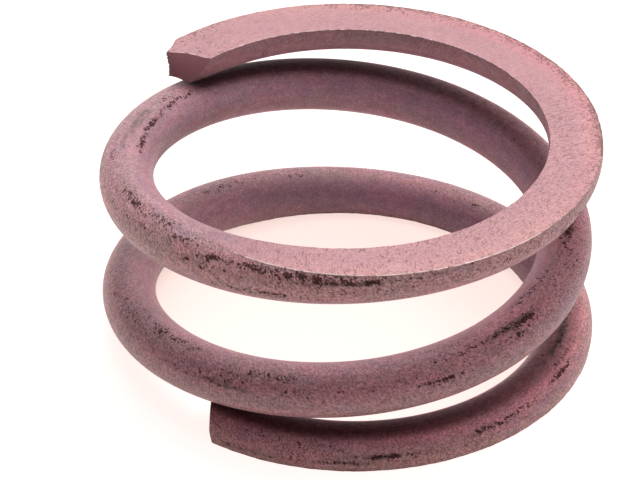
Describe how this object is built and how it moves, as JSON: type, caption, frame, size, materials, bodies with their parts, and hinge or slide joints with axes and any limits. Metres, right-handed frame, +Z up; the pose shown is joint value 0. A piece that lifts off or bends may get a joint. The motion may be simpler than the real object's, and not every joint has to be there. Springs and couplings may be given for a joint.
{
  "type": "compression spring",
  "caption": "Short, stiff helical compression spring of round wire, wound right-handed, with closed ends ground flat square to the axis and a clear bore for a piston stem",
  "frame": {"origin": "on the coil's axis, in the plane of the bottom ground face", "axes": "+Z up the coil's axis, from the bottom ground face to the top one; the top wire tip lies at the back left, 137.9 degrees counter-clockwise from +X"},
  "size_m": [0.0487, 0.0488, 0.0224],
  "materials": {
    "spring_coat": "dull pink dye on spring steel, worn and speckled dark"
  },
  "bodies": {
    "root": {"servo_piston_spring": "spring_coat"}
  },
  "joints": []
}
